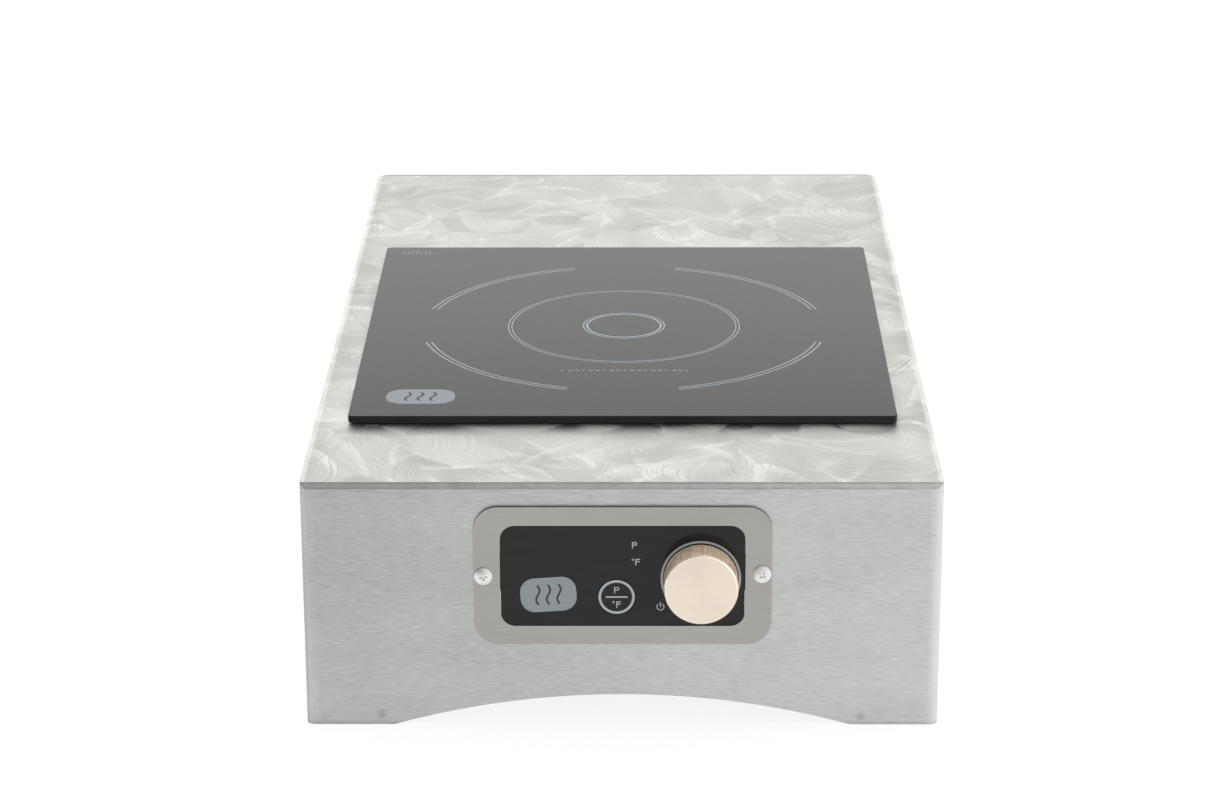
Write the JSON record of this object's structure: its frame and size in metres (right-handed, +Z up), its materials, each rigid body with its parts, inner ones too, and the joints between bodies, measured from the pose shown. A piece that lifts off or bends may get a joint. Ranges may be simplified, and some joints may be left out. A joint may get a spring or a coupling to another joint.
{
  "type": "portable induction cooktop",
  "caption": "Low aluminium stand, arched and open below, holding a black ceramic glass induction hob, with a dial and mode button in a framed front panel.",
  "frame": {"origin": "middle of the footprint, on the surface the stand rests on", "axes": "+X to the right as seen from the front, +Y from the control panel towards the back, +Z up"},
  "size_m": [0.337, 0.632, 0.1421],
  "materials": {
    "aluminium_swirled": "hand-ground in overlapping swirls",
    "aluminium_brushed": "brushed along its width",
    "aluminium_plain": "mill finish",
    "ceramic_glass_black": "polished, opaque from behind",
    "silicone_black": "matt",
    "stainless_brushed": "brushed along its width",
    "screw_steel": "bright",
    "window_black": "gloss",
    "knob_rose_gold": "anodised, spun face and knurled side",
    "enamel_white": "gloss",
    "circuit_board": "solder mask",
    "display_black": "gloss",
    "indicator_red": "unlit",
    "zinc_steel": "zinc plated",
    "carrier_cream": "moulded",
    "copper": "enamelled wire",
    "ferrite": "sintered",
    "mica": "laminated",
    "silicone_white": "matt",
    "sensor_red": "gloss",
    "brass_plain": "turned",
    "capacitor_blue": "gloss",
    "capacitor_orange": "gloss",
    "fuse_ceramic": "glazed",
    "terminal_cream": "moulded",
    "rubber_black": "matt",
    "lead_sheath": "matt",
    "black_plastic": "moulded"
  },
  "bodies": {
    "stand": {"top_shell": "aluminium_swirled", "front_plate": "aluminium_brushed", "rear_plate": "aluminium_brushed", "glass_top": "ceramic_glass_black", "glass_seal": "silicone_black", "front_bezel": "stainless_brushed", "bezel_screws": "screw_steel", "bezel_nuts": "screw_steel", "control_window": "window_black", "control_housing": "black_plastic", "dial_encoder": "black_plastic", "dial_washer": "screw_steel", "dial_nut": "screw_steel", "tact_switch": "black_plastic", "control_board": "circuit_board", "control_board_screws": "screw_steel", "display_module": "display_black", "indicator_leds": "indicator_red", "buzzer": "black_plastic", "control_lead": "lead_sheath", "lead_grommets": "silicone_black", "unit_pan": "zinc_steel", "clamp_brackets": "zinc_steel", "clamp_screws": "screw_steel", "coil_carrier": "carrier_cream", "coil_winding": "copper", "ferrite_bars": "ferrite", "mica_sheet": "mica", "sensor_holder": "silicone_white", "temperature_sensor": "sensor_red", "coil_posts": "zinc_steel", "coil_screws": "screw_steel", "power_board": "circuit_board", "board_standoffs": "brass_plain", "board_screws": "screw_steel", "heat_sink": "aluminium_plain", "power_transistors": "black_plastic", "bridge_rectifier": "black_plastic", "resonant_capacitor": "capacitor_blue", "smoothing_capacitor": "capacitor_orange", "mains_choke": "copper", "fuse_holder": "black_plastic", "fuse": "fuse_ceramic", "terminal_block": "terminal_cream", "fan_frame": "black_plastic", "fan_guard": "zinc_steel", "fan_screws": "screw_steel", "cable_gland": "black_plastic", "gland_nut": "black_plastic", "foot_brackets": "aluminium_plain", "rubber_feet": "rubber_black", "foot_screws": "screw_steel"},
    "dial": {"knob": "knob_rose_gold", "knob_index": "enamel_white", "knob_grub_screw": "screw_steel", "dial_shaft": "screw_steel"},
    "button": {"mode_button": "window_black", "switch_plunger": "black_plastic"},
    "fan": {"fan_rotor": "black_plastic"}
  },
  "joints": [
    {"name": "dial_turn", "type": "hinge", "parent": "stand", "child": "dial", "pos_m": [0.0416, -0.31, 0.0844], "axis": [0, 1, 0], "range_deg": [0, 300]},
    {"name": "mode_button_press", "type": "slide", "parent": "stand", "child": "button", "axis": [0, 1, 0], "range_m": [0, 0.0008], "stiffness_N_per_m": 800, "springref_m": -0.0004},
    {"name": "fan_spin", "type": "hinge", "parent": "stand", "child": "fan", "pos_m": [-0.086, 0.046, 0.06], "axis": [0, 0, 1], "continuous": true}
  ]
}
